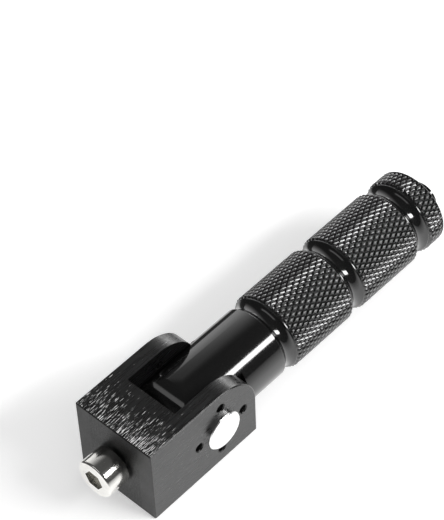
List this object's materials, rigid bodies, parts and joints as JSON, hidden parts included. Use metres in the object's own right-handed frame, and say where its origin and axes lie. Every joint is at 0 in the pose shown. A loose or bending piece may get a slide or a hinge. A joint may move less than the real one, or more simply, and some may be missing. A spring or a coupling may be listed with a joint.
{
  "type": "motorcycle foot peg",
  "caption": "Folding foot peg: a slotted aluminium block with a screw in its back face, and a round knurled bar with concave grooves that folds up on a clipped pin.",
  "frame": {"origin": "centre of the block's flat mounting face, on the axis of its threaded hole", "axes": "+X from the mounting face to the tip of the bar, +Z the side that the bar folds to, Y along the pivot pin with its head on -Y"},
  "size_m": [0.1515, 0.0351, 0.03],
  "materials": {
    "block_anodised": "black anodised, brushed",
    "bar_anodised": "black anodised, polished neck and grooves, knurled grip",
    "pin_zinc": "bright zinc plate",
    "clip_steel": "dark spring steel",
    "screw_stainless": "stainless, turned and polished",
    "ball_steel": "polished"
  },
  "bodies": {
    "block": {"clevis_block": "block_anodised", "pivot_pin": "pin_zinc", "retaining_clip": "clip_steel", "mounting_screw": "screw_stainless"},
    "peg": {"peg_bar": "bar_anodised", "click_ball_left": "ball_steel", "click_ball_right": "ball_steel", "click_spring": "ball_steel"}
  },
  "joints": [
    {"name": "fold", "type": "hinge", "parent": "block", "child": "peg", "pos_m": [0.029, 0, 0], "axis": [0, -1, 0], "range_deg": [0, 90]}
  ]
}
